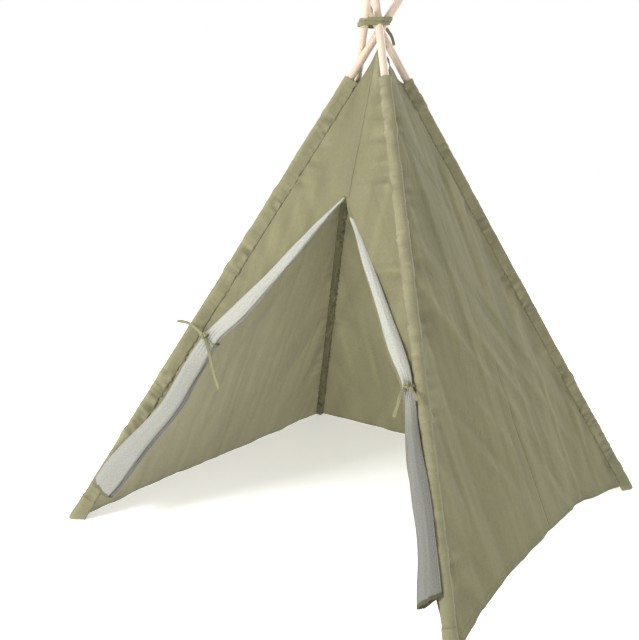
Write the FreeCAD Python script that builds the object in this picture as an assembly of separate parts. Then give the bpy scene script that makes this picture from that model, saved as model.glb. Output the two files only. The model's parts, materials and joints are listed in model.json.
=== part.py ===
"""Children's teepee tent: four crossed poles in fabric sleeves, four wall panels, a door tied open."""
import FreeCAD, Part
import math
import os

V = FreeCAD.Vector

# ---------------------------------------------------------------- driving dimensions (mm)
HALF_BASE = 600.0          # centre of the tent to a pole's axis on the floor, along X and along Y
CROSSING_Z = 1383.0        # height at which the poles cross
POLE_TOP_Z = 1600.0        # height of the pole tips
POLE_R = 11.0              # pole radius
TIP_ROUND = 4.0            # rounding of the pole tips
JOINT_Z = 800.0            # height of the joint between a pole's two sections
FERRULE_R = 11.5           # outer radius of the metal ferrule over that joint
FERRULE_BORE_R = 10.5      # its inner radius
FERRULE_LENGTH = 90.0
SPIGOT_R = 10.45           # turned-down pole ends inside the ferrule
SPIGOT_GAP = 1.0           # gap between the two pole ends inside the ferrule
SLEEVE_BORE_R = 12.3       # fabric sleeve round the pole
SLEEVE_R = 13.5
SLEEVE_TOP_Z = 1232.0
FOOT_POCKET_BORE_R = 13.8  # doubled fabric pocket that closes each sleeve at the floor
FOOT_POCKET_R = 15.4
FOOT_POCKET_LENGTH = 62.0
FOOT_POCKET_BASE = 2.0
WALL = 1.6                 # thickness of the wall fabric solids
WALL_TOP_Z = 1225.0        # where a wall leaves its sleeve and rises to the peak
SEAM_GAP = 0.4             # half the gap between the two halves of a wall
SLEEVE_CLEARANCE = 17.2    # wall edge to pole axis, measured across the panel

# Each pole: sides of the tent in X and Y, then how far it passes the centre line at the crossing,
# along the tangent and along the radius. The four values keep the crossed poles apart.
POLES = {
    "front_right": (1, -1, -12.0, 0.0),
    "back_right": (1, 1, 44.0, -8.0),
    "back_left": (-1, 1, 50.0, 0.0),
    "front_left": (-1, -1, -18.0, -10.0),
}
# Each wall: its two poles from left to right as seen from outside, the height of its peak, and the
# height of its hem beside the poles and at the middle.
WALLS = {
    "front": ("front_left", "front_right", 1322.0, 8.0, 8.0),
    "right": ("front_right", "back_right", 1322.0, 26.0, 74.0),
    "back": ("back_right", "back_left", 1322.0, 6.0, 9.0),
    "left": ("back_left", "front_left", 1285.0, 6.0, 9.0),
}

# Door, in the front panel's own coordinates: across from its centre line, up along its slope.
SLIT_TOP = (31.0, 1012.0)
PLACKET_WIDTH = 26.0
PLACKET_BELOW = 14.0       # how far the placket runs on below the top of the slit
# Each flap is gathered against its pole: across, up, half width.
FLAP_ROUTES = {
    "left": [(22.0, 984.0, 6.0), (-118.0, 785.0, 25.0), (-278.0, 577.0, 13.0), (-360.0, 398.0, 25.0),
             (-492.0, 172.0, 42.0)],
    "right": [(58.0, 978.0, 6.0), (223.0, 746.0, 20.0), (355.0, 558.0, 13.0), (391.0, 476.0, 17.0),
              (456.0, 311.0, 23.0), (509.0, 150.0, 23.0)],
}
FOLD_LAYER = (18.5, 24.5)  # the gathered part next to the pole, in front of the panel
EDGE_LAYER = (25.5, 31.5)  # the free edge's roll, in front of that
TIE_AT = {"left": 2, "right": 2}          # the route's point where the flap is tied
TIE_WIDTH = 10.0
TIE_THICK = 1.2
TIE_BAND_BACK = 20.5       # where the band's two ends stop behind the flap, clear of the folded sleeve
KNOT_SIZE = (20.0, 15.0, 11.0)
TAB_LENGTH = 34.0          # shortest reach of the tab that holds the tie, from beside the sleeve

APEX_WRAP_HEIGHT = 28.0
APEX_WRAP_THICK = 2.4
APEX_KNOT_SIZE = (22.0, 12.0, 18.0)
TAIL_R = 2.0               # the tie tapes' tails, as round cords

BIG = 4000.0


# ---------------------------------------------------------------- poles
def pole_directions(name):
    """Unit radius and tangent of a pole's corner, seen from above."""
    side_x, side_y = POLES[name][:2]
    radius = V(side_x, side_y, 0).normalize()
    return radius, V(-radius.y, radius.x, 0)


def pole_foot(name):
    side_x, side_y = POLES[name][:2]
    return V(side_x * HALF_BASE, side_y * HALF_BASE, 0)


def pole_crossing(name):
    radius, tangent = pole_directions(name)
    along_tangent, along_radius = POLES[name][2:]
    return radius * along_radius + tangent * along_tangent + V(0, 0, CROSSING_Z)


def pole_at(name, z):
    foot = pole_foot(name)
    return foot + (pole_crossing(name) - foot) * (z / CROSSING_Z)


def pole_axis(name):
    return (pole_crossing(name) - pole_foot(name)).normalize()


def rod(name, start_z, end_z, radius, start_shift=0.0, end_shift=0.0):
    """A cylinder on the pole's axis between two heights, each moved along the axis by its shift."""
    axis = pole_axis(name)
    start = pole_at(name, start_z) + axis * start_shift
    end = pole_at(name, end_z) + axis * end_shift
    return Part.makeCylinder(radius, (end - start).Length, start, axis)


def above(shape, z):
    """The part of a shape above a level plane."""
    return shape.common(Part.makeBox(BIG, BIG, BIG, V(-BIG / 2, -BIG / 2, z)))


def make_pole(name):
    half = FERRULE_LENGTH / 2
    below_floor = -60.0
    lower = rod(name, 0, JOINT_Z, POLE_R, below_floor, -half)
    lower = lower.fuse(rod(name, JOINT_Z, JOINT_Z, SPIGOT_R, -half, -SPIGOT_GAP / 2)).removeSplitter()
    lower = above(lower, FOOT_POCKET_BASE)
    upper = rod(name, JOINT_Z, POLE_TOP_Z, POLE_R, half, 0)
    tip = max(upper.Edges, key=lambda edge: edge.CenterOfMass.z)
    upper = upper.makeFillet(TIP_ROUND, [tip])
    upper = upper.fuse(rod(name, JOINT_Z, JOINT_Z, SPIGOT_R, SPIGOT_GAP / 2, half)).removeSplitter()
    ferrule = rod(name, JOINT_Z, JOINT_Z, FERRULE_R, -half, half)
    ferrule = ferrule.cut(rod(name, JOINT_Z, JOINT_Z, FERRULE_BORE_R, -half, half))
    return {
        f"pole_lower_{name}": lower,
        f"pole_upper_{name}": upper,
        f"pole_ferrule_{name}": ferrule,
    }


def make_sleeve(name):
    """The open fabric tube along the pole, and the closed pocket that its lower end stands in."""
    below_floor = -60.0
    sleeve = rod(name, 0, SLEEVE_TOP_Z, SLEEVE_R, below_floor, 0)
    sleeve = sleeve.cut(rod(name, 0, SLEEVE_TOP_Z, SLEEVE_BORE_R, below_floor - 10, 10))
    pocket = above(rod(name, 0, 0, FOOT_POCKET_R, below_floor, FOOT_POCKET_LENGTH), 0)
    inside = rod(name, 0, 0, FOOT_POCKET_BORE_R, below_floor, FOOT_POCKET_LENGTH + 10)
    return {
        f"sleeve_{name}": above(sleeve, FOOT_POCKET_BASE),
        f"foot_pocket_{name}": pocket.cut(above(inside, FOOT_POCKET_BASE)),
    }


# ---------------------------------------------------------------- wall panels
class Panel:
    """A wall's plane: origin at the middle of its base, with across, up and outward directions."""

    def __init__(self, wall):
        self.left, self.right, self.peak_z, self.hem_pole_z, self.hem_middle_z = WALLS[wall]
        self.origin = (pole_foot(self.left) + pole_foot(self.right)) * 0.5
        top = (pole_crossing(self.left) + pole_crossing(self.right)) * 0.5
        self.across = (pole_foot(self.right) - pole_foot(self.left)).normalize()
        self.up = (top - self.origin).normalize()
        self.outward = self.across.cross(self.up).normalize()

    def point(self, across, up, out=0.0):
        return self.origin + self.across * across + self.up * up + self.outward * out

    def up_at(self, z):
        return z / self.up.z

    def pole_offset(self, pole, z):
        """How far across the panel, and in front of it, a pole's axis is at a height."""
        offset = pole_at(pole, z) - self.point(0, self.up_at(z))
        return offset.dot(self.across), offset.dot(self.outward)

    def slab(self, outline, low, high):
        """A flat solid over an outline of (across, up) points, between two layers."""
        corners = [self.point(x, y, low) for x, y in outline + outline[:1]]
        return Part.Face(Part.makePolygon(corners)).extrude(self.outward * (high - low))


def hem_curve(foot, middle, peak, rise):
    """The hem from the middle of the wall to its foot, arched towards the peak."""
    half_way = (foot + middle) * 0.5
    return Part.Arc(middle, half_way + (peak - half_way).normalize() * (rise / 4), foot).toShape()


def make_wall_half(wall, pole, sign):
    """Half a wall, from its pole to the wall's middle; the door's halves end at the slit's top.

    It is two flat pieces that meet on the line from the foot to the peak, so that one edge follows
    the pole and the other the wall's middle, although the poles pass each other at the crossing.
    """
    panel = Panel(wall)
    gap = sign * SEAM_GAP
    low = -WALL / 2
    beside = panel.across * (-sign * SLEEVE_CLEARANCE) + panel.outward * low
    foot = pole_at(pole, panel.hem_pole_z) + beside
    sleeve_top = pole_at(pole, WALL_TOP_Z) + beside
    peak = panel.point(gap, panel.up_at(panel.peak_z), low)
    if wall == "front":
        middle = panel.point(SLIT_TOP[0] + gap, SLIT_TOP[1], low)
        hem = Part.makeLine(middle, foot)
    else:
        middle = panel.point(gap, panel.up_at(panel.hem_middle_z), low)
        hem = hem_curve(foot, middle, peak, panel.hem_middle_z - panel.hem_pole_z)
    lower = Part.Face(Part.Wire([Part.makeLine(foot, peak), Part.makeLine(peak, middle), hem]))
    upper = Part.Face(Part.makePolygon([foot, sleeve_top, peak, foot]))
    thickness = panel.outward * WALL
    return lower.extrude(thickness).fuse(upper.extrude(thickness))


def make_walls():
    nodes = {}
    for wall, (left, right, *_) in WALLS.items():
        for pole, sign in ((left, -1), (right, 1)):
            nodes[f"wall_{wall}_at_{pole}"] = make_wall_half(wall, pole, sign)
    return nodes


# ---------------------------------------------------------------- door
def make_placket():
    """The reinforced strip down the middle of the front, ending at the top of the door's slit."""
    panel = Panel("front")
    half = PLACKET_WIDTH / 2
    top_up = panel.up_at(panel.peak_z) - 60.0
    lean = SLIT_TOP[0] / (panel.up_at(panel.peak_z) - SLIT_TOP[1])
    top_across = lean * (panel.up_at(panel.peak_z) - top_up)
    bottom = (SLIT_TOP[0], SLIT_TOP[1] - PLACKET_BELOW)
    outline = [(bottom[0] - half, bottom[1]), (bottom[0] + half, bottom[1]),
               (top_across + half, top_up), (top_across - half, top_up)]
    front = WALL / 2 + 0.4
    return {"door_placket": panel.slab(outline, front, front + 1.6)}


def ribbon_outline(route, inset=0.0):
    """The outline of a flap: its route of (across, up, half width), offset to both sides."""
    sides = ([], [])
    for i, (x, y, half) in enumerate(route):
        ahead, behind = route[min(i + 1, len(route) - 1)], route[max(i - 1, 0)]
        run = V(ahead[0] - behind[0], ahead[1] - behind[1], 0).normalize()
        for side, sign in zip(sides, (1, -1)):
            side.append((x - sign * run.y * (half - inset), y + sign * run.x * (half - inset)))
    return sides[0] + sides[1][::-1]


def make_flap(hand):
    panel = Panel("front")
    route = FLAP_ROUTES[hand]
    foot = (-1 if hand == "left" else 1) * HALF_BASE
    end = route[-1]
    near_foot = (end[0] + (foot - end[0]) * 0.62, end[1] * 0.38, end[2] * 0.62)
    gathered = panel.slab(ribbon_outline(route + [near_foot]), *FOLD_LAYER)
    edge = panel.slab(ribbon_outline(route, inset=1.0), *EDGE_LAYER)
    return {f"{hand}_flap_gather": gathered, f"{hand}_flap_edge": edge}


def tied_point(hand):
    """Where a flap is tied, its half width there, and the directions along and across its route."""
    panel = Panel("front")
    route = FLAP_ROUTES[hand]
    i = TIE_AT[hand]
    x, y, half = route[i]
    along = (panel.point(*route[i - 1][:2]) - panel.point(*route[i + 1][:2])).normalize()
    return panel, x, y, half, along, along.cross(panel.outward).normalize()


def block(centre, along, across, out, size):
    """A box of size (along, across, out) round a centre, with its vertical-most edges left sharp."""
    corner = centre - along * (size[0] / 2) - across * (size[1] / 2) - out * (size[2] / 2)
    base = Part.makePolygon([corner, corner + along * size[0], corner + along * size[0] + across * size[1],
                             corner + across * size[1], corner])
    return Part.Face(base).extrude(out * size[2])


def make_tie(hand):
    """A tie tape round one flap: a tab sewn to the wall, a band over the flap, and a knot."""
    panel, x, y, half, along, across = tied_point(hand)
    clear = 1.8
    front = EDGE_LAYER[1] + clear
    back = TIE_BAND_BACK
    width = 2 * (half + clear + TIE_THICK)
    centre = panel.point(x, y, 0)
    middle = centre + panel.outward * ((back + front + TIE_THICK) / 2)
    band = block(middle, along, across, panel.outward, (TIE_WIDTH, width, front + TIE_THICK - back))
    hollow = middle - panel.outward * (TIE_THICK)
    band = band.cut(block(hollow, along, across, panel.outward,
                          (TIE_WIDTH + 2, 2 * (half + clear), front + TIE_THICK - back)))
    knot_centre = centre + panel.outward * (front + TIE_THICK + KNOT_SIZE[2] / 2 + 0.2)
    knot = block(knot_centre, along, across, panel.outward, KNOT_SIZE)
    knot = knot.makeFillet(4.0, knot.Edges)
    sign = -1 if hand == "left" else 1
    pole = "front_" + hand
    z = panel.point(x, y).z
    pole_across, pole_out = panel.pole_offset(pole, z)
    edge = pole_across - sign * (SLEEVE_CLEARANCE + 3.0)
    low = max(pole_out, 0) + WALL / 2 + 0.4
    end = edge - sign * max(TAB_LENGTH, sign * (edge - x))
    tab = [(edge, y - TIE_WIDTH / 2), (edge, y + TIE_WIDTH / 2), (end, y + TIE_WIDTH / 2),
           (end, y - TIE_WIDTH / 2)]
    return {
        f"{hand}_tie_tab": panel.slab(tab, low, low + TIE_THICK),
        f"{hand}_tie_band": band,
        f"{hand}_tie_knot": knot,
    }


# ---------------------------------------------------------------- apex tie
def make_apex_tie():
    """The tape wound round the four poles where they cross, with its knot at the back."""
    reach = APEX_WRAP_HEIGHT / 2
    slope = math.tan(pole_axis("front_right").getAngle(V(0, 0, 1)))
    clearance = POLE_R * math.hypot(1, slope) + reach * slope + 0.6
    centres = [pole_crossing(name) for name in POLES]
    centroid = (centres[0] + centres[1] + centres[2] + centres[3]) * 0.25
    centres.sort(key=lambda c: math.atan2(c.y - centroid.y, c.x - centroid.x))
    rear = max(centres, key=lambda c: c.y)
    bottom = V(0, 0, -reach)
    hull = Part.makePolygon([c + bottom for c in centres] + [centres[0] + bottom])
    inner = hull.makeOffset2D(clearance, 0)
    outer = hull.makeOffset2D(clearance + APEX_WRAP_THICK, 0)
    wrap = Part.Face(outer).cut(Part.Face(inner)).extrude(V(0, 0, APEX_WRAP_HEIGHT))
    box = wrap.BoundBox
    middle = V(rear.x, box.YMax + APEX_KNOT_SIZE[1] / 2 + 0.2, CROSSING_Z)
    corner = middle - V(*APEX_KNOT_SIZE) * 0.5
    knot = Part.makeBox(*APEX_KNOT_SIZE, corner)
    knot = knot.makeFillet(4.0, knot.Edges)
    return {"apex_tie_wrap": wrap, "apex_tie_knot": knot}, middle


# ---------------------------------------------------------------- tape tails
def rounded_route(points):
    """Straight runs joined by tangent arcs as large as the runs allow; returns the wire and radii."""
    edges, radii = [], []
    start = points[0]
    for before, corner, after in zip(points, points[1:], points[2:]):
        back, ahead = before - corner, after - corner
        reach = 0.45 * min(back.Length, ahead.Length)
        half_turn = (math.pi - back.getAngle(ahead)) / 2
        radius = reach / math.tan(half_turn)
        back.normalize()
        ahead.normalize()
        inward = (back + ahead).normalize()
        middle = corner + inward * (radius / math.cos(half_turn) - radius)
        arc_start, arc_end = corner + back * reach, corner + ahead * reach
        edges.append(Part.LineSegment(start, arc_start).toShape())
        edges.append(Part.Arc(arc_start, middle, arc_end).toShape())
        radii.append(radius)
        start = arc_end
    edges.append(Part.LineSegment(start, points[-1]).toShape())
    return Part.Wire(edges), radii


def make_tail(node, points):
    path, radii = rounded_route(points)
    profile = Part.Wire(Part.Circle(points[0], points[1] - points[0], TAIL_R).toShape())
    tail = path.makePipeShell([profile], True, False)
    expected = math.pi * TAIL_R ** 2 * path.Length
    smallest = min(radii)
    print(f"{node}: length {path.Length:.1f}, smallest radius {smallest:.1f}, "
          f"volume {tail.Volume / expected:.3f} of section times length")
    return {node: tail}


def make_tails(apex_knot):
    """Free ends of the tapes. Door tails are in the front panel's coordinates from their knot."""
    nodes = {}
    door_tails = {
        "left_tie_tail_up": ("left", [(-9, 2, 0), (-48, 22, 4), (-76, 27, 5), (-108, 25, 2)]),
        "left_tie_tail_down": ("left", [(5, -7, 0), (38, -46, 3), (67, -91, 6), (105, -131, 10)]),
        "right_tie_tail_down": ("right", [(-3, -8, 0), (-8, -28, 4), (-6, -52, 7), (-7, -80, 10)]),
        "right_tie_tail_side": ("right", [(8, -3, 0), (19, -10, 3), (29, -18, 5), (40, -30, 6)]),
    }
    for node, (hand, steps) in door_tails.items():
        panel, x, y, half, _, _ = tied_point(hand)
        out = EDGE_LAYER[1] + 2.0 + TIE_THICK + KNOT_SIZE[2] / 2
        nodes.update(make_tail(node, [panel.point(x + dx, y + dy, out + dz) for dx, dy, dz in steps]))
    apex_tails = {
        "apex_tie_tail_left": [(-6, 6, -6), (-13, 15, -22), (-19, 19, -44), (-21, 26, -68)],
        "apex_tie_tail_right": [(6, 6, -6), (12, 16, -18), (22, 22, -34), (26, 25, -55)],
    }
    for node, steps in apex_tails.items():
        nodes.update(make_tail(node, [apex_knot + V(*step) for step in steps]))
    return nodes


# ---------------------------------------------------------------- assembly
def make_tent():
    nodes = {}
    for name in POLES:
        nodes.update(make_pole(name))
        nodes.update(make_sleeve(name))
    nodes.update(make_walls())
    nodes.update(make_placket())
    for hand in ("left", "right"):
        nodes.update(make_flap(hand))
        nodes.update(make_tie(hand))
    apex, apex_knot = make_apex_tie()
    nodes.update(apex)
    nodes.update(make_tails(apex_knot))
    return nodes


os.makedirs("parts", exist_ok=True)
for node, shape in make_tent().items():
    if not shape.isValid() or shape.Volume <= 0:
        print("check this solid:", node)
    shape.exportStep(f"parts/{node}.step")
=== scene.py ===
"""Looks of the children's teepee tent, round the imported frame: cotton walls, sleeves, door flaps and ties."""
import json
import math
import bpy
import numpy as np
from mathutils import Matrix, Vector


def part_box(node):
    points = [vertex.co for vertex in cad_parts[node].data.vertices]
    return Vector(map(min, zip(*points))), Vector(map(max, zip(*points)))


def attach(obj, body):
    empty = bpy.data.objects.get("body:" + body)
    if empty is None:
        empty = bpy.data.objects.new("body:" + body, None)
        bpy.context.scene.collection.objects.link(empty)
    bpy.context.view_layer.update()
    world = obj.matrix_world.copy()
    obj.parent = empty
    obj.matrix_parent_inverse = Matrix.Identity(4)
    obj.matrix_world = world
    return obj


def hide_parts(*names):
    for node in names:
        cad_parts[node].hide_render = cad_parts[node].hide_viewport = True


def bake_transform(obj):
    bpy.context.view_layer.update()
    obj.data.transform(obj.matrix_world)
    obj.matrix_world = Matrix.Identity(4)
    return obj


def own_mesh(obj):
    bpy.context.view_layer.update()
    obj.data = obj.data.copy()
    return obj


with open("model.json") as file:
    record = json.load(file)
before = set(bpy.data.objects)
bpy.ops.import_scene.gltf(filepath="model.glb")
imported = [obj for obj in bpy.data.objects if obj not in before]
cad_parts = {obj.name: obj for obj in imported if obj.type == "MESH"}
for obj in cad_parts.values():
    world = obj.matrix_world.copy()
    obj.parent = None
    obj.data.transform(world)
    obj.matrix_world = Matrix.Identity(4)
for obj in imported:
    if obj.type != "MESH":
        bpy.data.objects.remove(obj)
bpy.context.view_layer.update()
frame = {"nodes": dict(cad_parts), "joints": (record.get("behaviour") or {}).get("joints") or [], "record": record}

# ---------------------------------------------------------------- places from the frame (metres)
POLES = ("front_left", "front_right", "back_right", "back_left")
JOINT_AT = {joint["name"]: np.array(joint["pos_m"]) for joint in frame["joints"]}
MOUNT_AT = {mount["name"]: np.array(mount["pos_m"]) for mount in frame["record"]["mounts"]}
FOOT = {pole: MOUNT_AT["foot_" + pole] for pole in POLES}
CROSSING = {pole: JOINT_AT["fold_apex" if pole == "back_left" else "fold_" + pole] for pole in POLES}
SLIT_PIVOT = JOINT_AT["fold_left_flap"]

# ---------------------------------------------------------------- sizes (metres)
# Each sleeve: its radius round the pole; then, as a distance from the pole's axis and degrees from
# straight inwards, the fold where its slack ends, and the seams of the walls on its right and left.
SLEEVES = {
    "front_left": (0.0134, (0.0300, -40), (0.0300, -40), (0.0126, 50)),
    "front_right": (0.0148, (0.0240, 0), (0.0138, -68), (0.0138, 80)),
    "back_right": (0.0134, (0.0300, 40), (0.0126, -50), (0.0300, 40)),
    "back_left": (0.0148, (0.0240, 0), (0.0138, -62), (0.0138, 62)),
}
SLEEVE_TOP = 1.232
SLEEVE_FOOT = 0.030
POCKET_EXTRA = 0.0016
POCKET_TOP = 0.062
CLOTH = 0.0010             # thickness of one layer of cloth
HEM = 0.014                # depth of a folded hem
WALL_TOP = 1.222           # where a wall leaves its sleeve
PLACKET_WIDTH = 0.026
TAPE_WIDTH = 0.009
FOLDED_TAPE_WIDTH = 0.007
TAPE_THICK = 0.0013
STITCH_LENGTH, STITCH_STEP, STITCH_THICK = 0.0032, 0.0046, 0.0008


def unit(v):
    v = np.asarray(v, float)
    return v / np.linalg.norm(v)


AXIS = {pole: unit(CROSSING[pole] - FOOT[pole]) for pole in POLES}


def inward_of(pole):
    """Square to the pole, towards the inside of the tent."""
    outward = unit([FOOT[pole][0], FOOT[pole][1], 0.0])
    return unit((outward @ AXIS[pole]) * AXIS[pole] - outward)


INWARD = {pole: inward_of(pole) for pole in POLES}
SIDE = {pole: np.cross(AXIS[pole], INWARD[pole]) for pole in POLES}


def pole_at(pole, z):
    share = np.asarray(z, float)[..., None] / CROSSING[pole][2]
    return FOOT[pole] + (CROSSING[pole] - FOOT[pole]) * share


def seam_at(pole, z, on_right):
    """The seam beside a pole's sleeve, at a height, of the wall on the pole's right or left."""
    distance, degrees = SLEEVES[pole][2 if on_right else 3]
    turn = math.radians(degrees)
    offset = distance * (math.cos(turn) * INWARD[pole] + math.sin(turn) * SIDE[pole])
    return pole_at(pole, np.asarray(z, float) - offset[2]) + offset


def smooth(t):
    t = np.clip(t, 0, 1)
    return t * t * (3 - 2 * t)


class Ripple:
    """Smooth random height between -1 and 1 over a plane, from a fixed seed."""

    def __init__(self, seed):
        self.grid = np.random.default_rng(seed).uniform(-1, 1, (128, 128))

    def __call__(self, x, y=0.0):
        x, y = np.broadcast_arrays(np.asarray(x, float), np.asarray(y, float))
        i, j = np.floor(x).astype(int), np.floor(y).astype(int)
        u, v = smooth(x - i), smooth(y - j)

        def at(a, b):
            return self.grid[a % 128, b % 128]

        low = at(i, j) * (1 - u) + at(i + 1, j) * u
        high = at(i, j + 1) * (1 - u) + at(i + 1, j + 1) * u
        return low * (1 - v) + high * v


# ---------------------------------------------------------------- camera
CAMERA_AT = (1.368, -2.219, 1.136)
YAW, PITCH, ROLL = math.radians(-34.35), math.radians(-11.93), math.radians(1.37)
LENS, SENSOR = 52.1, 36.0
SHIFT_X, SHIFT_Y = -0.0170, -0.0153


def make_camera():
    forward = Vector((math.sin(YAW) * math.cos(PITCH), math.cos(YAW) * math.cos(PITCH), math.sin(PITCH)))
    right = Vector((math.cos(YAW), -math.sin(YAW), 0))
    up = right.cross(forward)
    level = Matrix((right, up, -forward)).transposed()
    data = bpy.data.cameras.new("camera")
    data.lens, data.sensor_width = LENS, SENSOR
    data.shift_x, data.shift_y = SHIFT_X, SHIFT_Y
    camera = bpy.data.objects.new("camera", data)
    camera.matrix_world = Matrix.Translation(CAMERA_AT) @ level.to_4x4() @ Matrix.Rotation(ROLL, 4, "Z")
    bpy.context.scene.collection.objects.link(camera)
    bpy.context.scene.camera = camera


# ---------------------------------------------------------------- materials
class Nodes:
    """Short forms for building a node tree."""

    def __init__(self, name):
        self.material = bpy.data.materials.new(name)
        self.material.use_nodes = True
        self.tree = self.material.node_tree
        self.shader = self.tree.nodes["Principled BSDF"]
        self.output = self.tree.nodes["Material Output"]

    def add(self, kind, **settings):
        node = self.tree.nodes.new("ShaderNode" + kind)
        for key, value in settings.items():
            setattr(node, key, value)
        return node

    def link(self, source, target):
        self.tree.links.new(source, target)

    def scaled(self, vector, scale, rotation=(0, 0, 0), kind="POINT"):
        node = self.add("Mapping", vector_type=kind)
        node.inputs["Scale"].default_value = scale
        node.inputs["Rotation"].default_value = rotation
        self.link(vector, node.inputs["Vector"])
        return node.outputs["Vector"]

    def noise(self, vector, detail, rough):
        node = self.add("TexNoise")
        node.inputs["Scale"].default_value = 1.0
        node.inputs["Detail"].default_value = detail
        node.inputs["Roughness"].default_value = rough
        self.link(vector, node.inputs["Vector"])
        return node.outputs["Fac"]

    def ramp(self, value, stops):
        node = self.add("ValToRGB")
        elements = node.color_ramp.elements
        while len(elements) < len(stops):
            elements.new(0.5)
        for element, (place, colour) in zip(elements, stops):
            element.position = place
            element.color = (*colour, 1) if len(colour) == 3 else colour
        self.link(value, node.inputs["Fac"])
        return node.outputs["Color"]

    def times(self, a, b):
        return self.mix(1.0, a, b, "MULTIPLY")

    def into(self, socket, value):
        self.link(value, self.shader.inputs[socket])

    def mix(self, share, a, b, kind="MIX"):
        node = self.add("Mix", data_type="RGBA", blend_type=kind)
        for socket, value in ((node.inputs[0], share), (node.inputs[6], a), (node.inputs[7], b)):
            if isinstance(value, bpy.types.NodeSocket):
                self.link(value, socket)
            else:
                socket.default_value = value if isinstance(value, float) else (*value, 1)
        return node.outputs[2]

    def maths(self, operation, a, b):
        node = self.add("Math", operation=operation)
        for socket, value in zip(node.inputs, (a, b)):
            if isinstance(value, bpy.types.NodeSocket):
                self.link(value, socket)
            else:
                socket.default_value = value
        return node.outputs[0]

    def bump(self, height, strength, distance, before=None):
        node = self.add("Bump")
        node.inputs["Strength"].default_value = strength
        node.inputs["Distance"].default_value = distance
        self.link(height, node.inputs["Height"])
        if before:
            self.link(before, node.inputs["Normal"])
        return node.outputs["Normal"]


def shade(colour, share):
    return tuple(min(1.0, c * share) for c in colour)


def woven(name, colour, slub=0.10, thread=1100.0, through=0.22, heather=0.0, heather_colour=(0.9, 0.9, 0.88)):
    """Plain-woven cotton: threads both ways, uneven slubs, soft colour drift and light that comes through, with
    painted light and shade from each mesh's tone attribute.
    """
    n = Nodes(name)
    place = n.add("UVMap", uv_map="cloth").outputs["UV"]
    weft = n.noise(n.scaled(place, (thread * 0.045, thread, 1)), 3.0, 0.6)
    warp = n.noise(n.scaled(place, (thread, thread * 0.045, 1)), 3.0, 0.6)
    fine = n.noise(n.scaled(place, (thread * 0.9, thread * 0.9, 1)), 1.0, 0.5)
    streaks = n.maths("ADD", n.maths("MULTIPLY", weft, 0.5), n.maths("MULTIPLY", warp, 0.5))
    drift = n.noise(n.scaled(place, (5.0, 3.0, 1)), 3.0, 0.55)
    dark, light = shade(colour, 1 - slub), shade(colour, 1 + slub)
    base = n.ramp(streaks, [(0.34, shade(dark, 0.96)), (0.50, colour), (0.66, light)])
    tone = n.ramp(drift, [(0.30, (0.93, 0.93, 0.92)), (0.70, (1.0, 1.0, 1.0))])
    base = n.times(base, tone)
    grain = n.ramp(fine, [(0.25, (0.90, 0.90, 0.90)), (0.75, (1.0, 1.0, 1.0))])
    base = n.times(base, grain)
    coarse = n.noise(n.scaled(place, (420.0, 90.0, 1)), 3.0, 0.7)
    cross = n.noise(n.scaled(place, (80.0, 420.0, 1)), 3.0, 0.7)
    cloud = n.maths("ADD", n.maths("MULTIPLY", coarse, 0.5), n.maths("MULTIPLY", cross, 0.5))
    blotches = n.ramp(cloud, [(0.38, (1 - 1.5 * slub,) * 3), (0.60, (1.0, 1.0, 1.0))])
    base = n.times(base, blotches)
    if heather:
        flecks = n.noise(n.scaled(place, (thread * 0.10, thread * 0.35, 1)), 4.0, 0.75)
        amount = n.ramp(flecks, [(0.42, (0, 0, 0)), (0.62, (heather,) * 3)])
        base = n.mix(amount, base, heather_colour)
    # painted light and shade: the tone attribute darkens creases, gathers, hems and the flaps below their ties,
    # and lightens ridges and edges
    folds = n.add("Attribute", attribute_name="tone").outputs["Fac"]
    tone = n.maths("ADD", n.maths("MULTIPLY", folds, 0.30), 1.0)
    painted_shading = n.add("CombineColor")
    for channel in ("Red", "Green", "Blue"):
        n.link(tone, painted_shading.inputs[channel])
    base = n.times(base, painted_shading.outputs["Color"])
    n.into("Base Color", base)
    rough = n.ramp(streaks, [(0.3, (0.80,) * 3), (0.7, (0.95,) * 3)])
    n.into("Roughness", rough)
    n.shader.inputs["Specular IOR Level"].default_value = 0.25
    n.shader.inputs["Sheen Weight"].default_value = 0.08
    n.shader.inputs["Sheen Roughness"].default_value = 0.55
    wrinkle = n.noise(n.scaled(place, (55.0, 12.0, 1)), 3.0, 0.55)
    normal = n.bump(wrinkle, 0.45, 0.0030)
    normal = n.bump(streaks, 0.45, 0.0005, normal)
    n.into("Normal", normal)
    if through:
        back = n.add("BsdfTranslucent")
        n.link(base, back.inputs["Color"])
        n.link(normal, back.inputs["Normal"])
        both = n.add("MixShader")
        both.inputs[0].default_value = through
        n.link(n.shader.outputs[0], both.inputs[1])
        n.link(back.outputs[0], both.inputs[2])
        n.link(both.outputs[0], n.output.inputs["Surface"])
    return n.material


def thread_material(name, colour):
    n = Nodes(name)
    place = n.add("TexCoord").outputs["Object"]
    twist = n.noise(n.scaled(place, (900.0, 900.0, 900.0)), 2.0, 0.6)
    n.into("Base Color", n.ramp(twist, [(0.3, shade(colour, 0.8)), (0.7, shade(colour, 1.1))]))
    n.into("Roughness", n.ramp(twist, [(0.3, (0.55,) * 3), (0.7, (0.8,) * 3)]))
    n.into("Normal", n.bump(twist, 0.5, 0.0003))
    return n.material


PINE_DARK, PINE, PINE_LIGHT = (0.48, 0.385, 0.28), (0.535, 0.45, 0.355), (0.565, 0.49, 0.40)


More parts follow.
